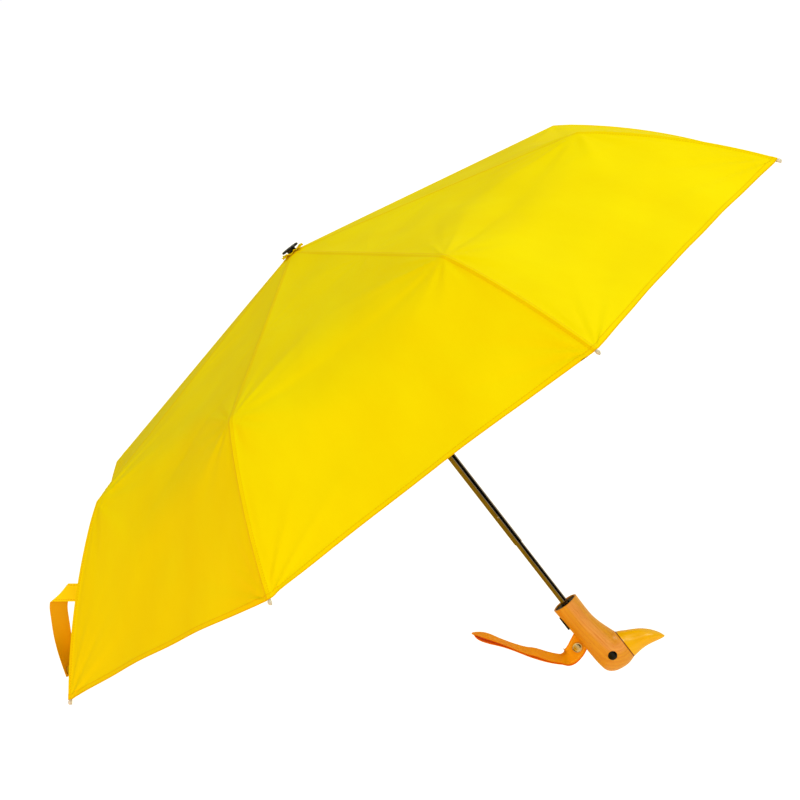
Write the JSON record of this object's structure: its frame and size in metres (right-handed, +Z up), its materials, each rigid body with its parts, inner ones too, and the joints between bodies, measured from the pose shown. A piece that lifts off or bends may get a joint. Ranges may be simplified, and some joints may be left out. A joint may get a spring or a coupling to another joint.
{
  "type": "folding children's umbrella",
  "caption": "Open compact folding umbrella with a plain faceted canopy, telescopic shaft, wooden duck-head handle with push button, and ribbon wrist strap.",
  "frame": {"origin": "on the shaft's axis inside the wooden grip, 60 mm above the handle's lowest point", "axes": "+Z up the shaft towards the cap, +X the way the beak points"},
  "size_m": [0.9212, 0.9198, 0.5798],
  "materials": {
    "canopy_fabric": "woven polyester pongee, faint sheen",
    "band_fabric": "woven ribbon, faint sheen",
    "wood": "satin varnish over straight grain",
    "beak_lacquer": "high gloss lacquer",
    "gloss_black": "polished",
    "black_plastic": "fine moulded satin",
    "shaft_chrome": "black nickel, polished",
    "spring_steel": "bright drawn wire",
    "rib_steel": "black enamel",
    "clear_plastic": "clear moulded",
    "snap_brass": "pale brass plate"
  },
  "bodies": {
    "handle": {"handle_body": "wood", "beak": "beak_lacquer", "eyes": "gloss_black", "handle_liner": "black_plastic", "lower_tube": "shaft_chrome", "wrist_strap": "band_fabric", "strap_snap": "snap_brass"},
    "push_button": {"push_button": "black_plastic"},
    "middle_shaft": {"middle_tube": "shaft_chrome"},
    "upper_shaft": {"upper_tube": "shaft_chrome", "opening_spring": "spring_steel", "crown": "black_plastic", "crown_ring": "spring_steel", "top_cap": "black_plastic", "rosette": "canopy_fabric", "canopy": "canopy_fabric"},
    "runner": {"runner": "black_plastic"},
    "top_rib_1": {"top_rib_1": "rib_steel"},
    "stretcher_1": {"stretcher_1": "rib_steel"},
    "middle_rib_1": {"middle_rib_1": "rib_steel"},
    "outer_rib_1": {"outer_rib_1": "rib_steel", "rib_tip_1": "clear_plastic"},
    "top_rib_2": {"top_rib_2": "rib_steel"},
    "stretcher_2": {"stretcher_2": "rib_steel"},
    "middle_rib_2": {"middle_rib_2": "rib_steel"},
    "outer_rib_2": {"outer_rib_2": "rib_steel", "rib_tip_2": "clear_plastic"},
    "top_rib_3": {"top_rib_3": "rib_steel"},
    "stretcher_3": {"stretcher_3": "rib_steel"},
    "middle_rib_3": {"middle_rib_3": "rib_steel"},
    "outer_rib_3": {"outer_rib_3": "rib_steel", "rib_tip_3": "clear_plastic"},
    "top_rib_4": {"top_rib_4": "rib_steel"},
    "stretcher_4": {"stretcher_4": "rib_steel"},
    "middle_rib_4": {"middle_rib_4": "rib_steel"},
    "outer_rib_4": {"outer_rib_4": "rib_steel", "rib_tip_4": "clear_plastic"},
    "top_rib_5": {"top_rib_5": "rib_steel"},
    "stretcher_5": {"stretcher_5": "rib_steel"},
    "middle_rib_5": {"middle_rib_5": "rib_steel"},
    "outer_rib_5": {"outer_rib_5": "rib_steel", "rib_tip_5": "clear_plastic", "tie_band": "band_fabric", "tie_band_snap": "snap_brass"},
    "top_rib_6": {"top_rib_6": "rib_steel"},
    "stretcher_6": {"stretcher_6": "rib_steel"},
    "middle_rib_6": {"middle_rib_6": "rib_steel"},
    "outer_rib_6": {"outer_rib_6": "rib_steel", "rib_tip_6": "clear_plastic"},
    "top_rib_7": {"top_rib_7": "rib_steel"},
    "stretcher_7": {"stretcher_7": "rib_steel"},
    "middle_rib_7": {"middle_rib_7": "rib_steel"},
    "outer_rib_7": {"outer_rib_7": "rib_steel", "rib_tip_7": "clear_plastic"},
    "top_rib_8": {"top_rib_8": "rib_steel"},
    "stretcher_8": {"stretcher_8": "rib_steel"},
    "middle_rib_8": {"middle_rib_8": "rib_steel"},
    "outer_rib_8": {"outer_rib_8": "rib_steel", "rib_tip_8": "clear_plastic"}
  },
  "joints": [
    {"name": "button_press", "type": "slide", "parent": "handle", "child": "push_button", "axis": [1, 0, 0], "range_m": [0, 0.0018], "stiffness_N_per_m": 400, "springref_m": -0.002},
    {"name": "lower_slide", "type": "slide", "parent": "handle", "child": "middle_shaft", "axis": [0, 0, -1], "range_m": [0, 0.12]},
    {"name": "upper_slide", "type": "slide", "parent": "middle_shaft", "child": "upper_shaft", "axis": [0, 0, -1], "range_m": [0, 0.12], "deforming": ["opening_spring"]},
    {"name": "canopy_fold", "type": "slide", "parent": "upper_shaft", "child": "runner", "axis": [0, 0, -1], "range_m": [0, 0.16334], "deforming": ["canopy"]},
    {"name": "top_rib_1_hinge", "type": "hinge", "parent": "upper_shaft", "child": "top_rib_1", "pos_m": [0.0085, 0.00296, 0.507], "axis": [0.3289, -0.9444, 0], "range_deg": [-77.7, 0]},
    {"name": "stretcher_1_hinge", "type": "hinge", "parent": "top_rib_1", "child": "stretcher_1", "pos_m": [0.10442, 0.03636, 0.48467], "axis": [0.3289, -0.9444, 0], "range_deg": [0, 155.3]},
    {"name": "middle_rib_1_hinge", "type": "hinge", "parent": "top_rib_1", "child": "middle_rib_1", "pos_m": [0.16129, 0.05617, 0.4745], "axis": [0.3289, -0.9444, 0], "range_deg": [0, 180.1]},
    {"name": "outer_rib_1_hinge", "type": "hinge", "parent": "middle_rib_1", "child": "outer_rib_1", "pos_m": [0.31263, 0.10887, 0.43496], "axis": [0.3289, -0.9444, 0], "range_deg": [-150.5, 0]},
    {"name": "top_rib_2_hinge", "type": "hinge", "parent": "upper_shaft", "child": "top_rib_2", "pos_m": [0.00392, 0.0081, 0.507], "axis": [0.9003, -0.4352, 0], "range_deg": [-77.7, 0]},
    {"name": "stretcher_2_hinge", "type": "hinge", "parent": "top_rib_2", "child": "stretcher_2", "pos_m": [0.04813, 0.09955, 0.48467], "axis": [0.9003, -0.4352, 0], "range_deg": [0, 155.3]},
    {"name": "middle_rib_2_hinge", "type": "hinge", "parent": "top_rib_2", "child": "middle_rib_2", "pos_m": [0.07433, 0.15377, 0.4745], "axis": [0.9003, -0.4352, 0], "range_deg": [0, 180.1]},
    {"name": "outer_rib_2_hinge", "type": "hinge", "parent": "middle_rib_2", "child": "outer_rib_2", "pos_m": [0.14408, 0.29805, 0.43496], "axis": [0.9003, -0.4352, 0], "range_deg": [-150.5, 0]},
    {"name": "top_rib_3_hinge", "type": "hinge", "parent": "upper_shaft", "child": "top_rib_3", "pos_m": [-0.00296, 0.0085, 0.507], "axis": [0.9444, 0.3289, 0], "range_deg": [-77.7, 0]},
    {"name": "stretcher_3_hinge", "type": "hinge", "parent": "top_rib_3", "child": "stretcher_3", "pos_m": [-0.03636, 0.10442, 0.48467], "axis": [0.9444, 0.3289, 0], "range_deg": [0, 155.3]},
    {"name": "middle_rib_3_hinge", "type": "hinge", "parent": "top_rib_3", "child": "middle_rib_3", "pos_m": [-0.05617, 0.16129, 0.4745], "axis": [0.9444, 0.3289, 0], "range_deg": [0, 180.1]},
    {"name": "outer_rib_3_hinge", "type": "hinge", "parent": "middle_rib_3", "child": "outer_rib_3", "pos_m": [-0.10887, 0.31263, 0.43496], "axis": [0.9444, 0.3289, 0], "range_deg": [-150.5, 0]},
    {"name": "top_rib_4_hinge", "type": "hinge", "parent": "upper_shaft", "child": "top_rib_4", "pos_m": [-0.0081, 0.00392, 0.507], "axis": [0.4352, 0.9003, 0], "range_deg": [-77.7, 0]},
    {"name": "stretcher_4_hinge", "type": "hinge", "parent": "top_rib_4", "child": "stretcher_4", "pos_m": [-0.09955, 0.04813, 0.48467], "axis": [0.4352, 0.9003, 0], "range_deg": [0, 155.3]},
    {"name": "middle_rib_4_hinge", "type": "hinge", "parent": "top_rib_4", "child": "middle_rib_4", "pos_m": [-0.15377, 0.07433, 0.4745], "axis": [0.4352, 0.9003, 0], "range_deg": [0, 180.1]},
    {"name": "outer_rib_4_hinge", "type": "hinge", "parent": "middle_rib_4", "child": "outer_rib_4", "pos_m": [-0.29805, 0.14408, 0.43496], "axis": [0.4352, 0.9003, 0], "range_deg": [-150.5, 0]},
    {"name": "top_rib_5_hinge", "type": "hinge", "parent": "upper_shaft", "child": "top_rib_5", "pos_m": [-0.0085, -0.00296, 0.507], "axis": [-0.3289, 0.9444, 0], "range_deg": [-77.7, 0]},
    {"name": "stretcher_5_hinge", "type": "hinge", "parent": "top_rib_5", "child": "stretcher_5", "pos_m": [-0.10442, -0.03636, 0.48467], "axis": [-0.3289, 0.9444, 0], "range_deg": [0, 155.3]},
    {"name": "middle_rib_5_hinge", "type": "hinge", "parent": "top_rib_5", "child": "middle_rib_5", "pos_m": [-0.16129, -0.05617, 0.4745], "axis": [-0.3289, 0.9444, 0], "range_deg": [0, 180.1]},
    {"name": "outer_rib_5_hinge", "type": "hinge", "parent": "middle_rib_5", "child": "outer_rib_5", "pos_m": [-0.31263, -0.10887, 0.43496], "axis": [-0.3289, 0.9444, 0], "range_deg": [-150.5, 0]},
    {"name": "top_rib_6_hinge", "type": "hinge", "parent": "upper_shaft", "child": "top_rib_6", "pos_m": [-0.00392, -0.0081, 0.507], "axis": [-0.9003, 0.4352, 0], "range_deg": [-77.7, 0]},
    {"name": "stretcher_6_hinge", "type": "hinge", "parent": "top_rib_6", "child": "stretcher_6", "pos_m": [-0.04813, -0.09955, 0.48467], "axis": [-0.9003, 0.4352, 0], "range_deg": [0, 155.3]},
    {"name": "middle_rib_6_hinge", "type": "hinge", "parent": "top_rib_6", "child": "middle_rib_6", "pos_m": [-0.07433, -0.15377, 0.4745], "axis": [-0.9003, 0.4352, 0], "range_deg": [0, 180.1]},
    {"name": "outer_rib_6_hinge", "type": "hinge", "parent": "middle_rib_6", "child": "outer_rib_6", "pos_m": [-0.14408, -0.29805, 0.43496], "axis": [-0.9003, 0.4352, 0], "range_deg": [-150.5, 0]},
    {"name": "top_rib_7_hinge", "type": "hinge", "parent": "upper_shaft", "child": "top_rib_7", "pos_m": [0.00296, -0.0085, 0.507], "axis": [-0.9444, -0.3289, 0], "range_deg": [-77.7, 0]},
    {"name": "stretcher_7_hinge", "type": "hinge", "parent": "top_rib_7", "child": "stretcher_7", "pos_m": [0.03636, -0.10442, 0.48467], "axis": [-0.9444, -0.3289, 0], "range_deg": [0, 155.3]},
    {"name": "middle_rib_7_hinge", "type": "hinge", "parent": "top_rib_7", "child": "middle_rib_7", "pos_m": [0.05617, -0.16129, 0.4745], "axis": [-0.9444, -0.3289, 0], "range_deg": [0, 180.1]},
    {"name": "outer_rib_7_hinge", "type": "hinge", "parent": "middle_rib_7", "child": "outer_rib_7", "pos_m": [0.10887, -0.31263, 0.43496], "axis": [-0.9444, -0.3289, 0], "range_deg": [-150.5, 0]},
    {"name": "top_rib_8_hinge", "type": "hinge", "parent": "upper_shaft", "child": "top_rib_8", "pos_m": [0.0081, -0.00392, 0.507], "axis": [-0.4352, -0.9003, 0], "range_deg": [-77.7, 0]},
    {"name": "stretcher_8_hinge", "type": "hinge", "parent": "top_rib_8", "child": "stretcher_8", "pos_m": [0.09955, -0.04813, 0.48467], "axis": [-0.4352, -0.9003, 0], "range_deg": [0, 155.3]},
    {"name": "middle_rib_8_hinge", "type": "hinge", "parent": "top_rib_8", "child": "middle_rib_8", "pos_m": [0.15377, -0.07433, 0.4745], "axis": [-0.4352, -0.9003, 0], "range_deg": [0, 180.1]},
    {"name": "outer_rib_8_hinge", "type": "hinge", "parent": "middle_rib_8", "child": "outer_rib_8", "pos_m": [0.29805, -0.14408, 0.43496], "axis": [-0.4352, -0.9003, 0], "range_deg": [-150.5, 0]}
  ],
  "couplings": [
    {"joint": "top_rib_1_hinge", "follows": "canopy_fold", "rad_per_m": -8.292},
    {"joint": "stretcher_1_hinge", "follows": "canopy_fold", "rad_per_m": 16.584},
    {"joint": "middle_rib_1_hinge", "follows": "canopy_fold", "rad_per_m": 19.234},
    {"joint": "outer_rib_1_hinge", "follows": "canopy_fold", "rad_per_m": -16.071},
    {"joint": "top_rib_2_hinge", "follows": "canopy_fold", "rad_per_m": -8.292},
    {"joint": "stretcher_2_hinge", "follows": "canopy_fold", "rad_per_m": 16.584},
    {"joint": "middle_rib_2_hinge", "follows": "canopy_fold", "rad_per_m": 19.234},
    {"joint": "outer_rib_2_hinge", "follows": "canopy_fold", "rad_per_m": -16.071},
    {"joint": "top_rib_3_hinge", "follows": "canopy_fold", "rad_per_m": -8.292},
    {"joint": "stretcher_3_hinge", "follows": "canopy_fold", "rad_per_m": 16.584},
    {"joint": "middle_rib_3_hinge", "follows": "canopy_fold", "rad_per_m": 19.234},
    {"joint": "outer_rib_3_hinge", "follows": "canopy_fold", "rad_per_m": -16.071},
    {"joint": "top_rib_4_hinge", "follows": "canopy_fold", "rad_per_m": -8.292},
    {"joint": "stretcher_4_hinge", "follows": "canopy_fold", "rad_per_m": 16.584},
    {"joint": "middle_rib_4_hinge", "follows": "canopy_fold", "rad_per_m": 19.234},
    {"joint": "outer_rib_4_hinge", "follows": "canopy_fold", "rad_per_m": -16.071},
    {"joint": "top_rib_5_hinge", "follows": "canopy_fold", "rad_per_m": -8.292},
    {"joint": "stretcher_5_hinge", "follows": "canopy_fold", "rad_per_m": 16.584},
    {"joint": "middle_rib_5_hinge", "follows": "canopy_fold", "rad_per_m": 19.234},
    {"joint": "outer_rib_5_hinge", "follows": "canopy_fold", "rad_per_m": -16.071},
    {"joint": "top_rib_6_hinge", "follows": "canopy_fold", "rad_per_m": -8.292},
    {"joint": "stretcher_6_hinge", "follows": "canopy_fold", "rad_per_m": 16.584},
    {"joint": "middle_rib_6_hinge", "follows": "canopy_fold", "rad_per_m": 19.234},
    {"joint": "outer_rib_6_hinge", "follows": "canopy_fold", "rad_per_m": -16.071},
    {"joint": "top_rib_7_hinge", "follows": "canopy_fold", "rad_per_m": -8.292},
    {"joint": "stretcher_7_hinge", "follows": "canopy_fold", "rad_per_m": 16.584},
    {"joint": "middle_rib_7_hinge", "follows": "canopy_fold", "rad_per_m": 19.234},
    {"joint": "outer_rib_7_hinge", "follows": "canopy_fold", "rad_per_m": -16.071},
    {"joint": "top_rib_8_hinge", "follows": "canopy_fold", "rad_per_m": -8.292},
    {"joint": "stretcher_8_hinge", "follows": "canopy_fold", "rad_per_m": 16.584},
    {"joint": "middle_rib_8_hinge", "follows": "canopy_fold", "rad_per_m": 19.234},
    {"joint": "outer_rib_8_hinge", "follows": "canopy_fold", "rad_per_m": -16.071}
  ]
}
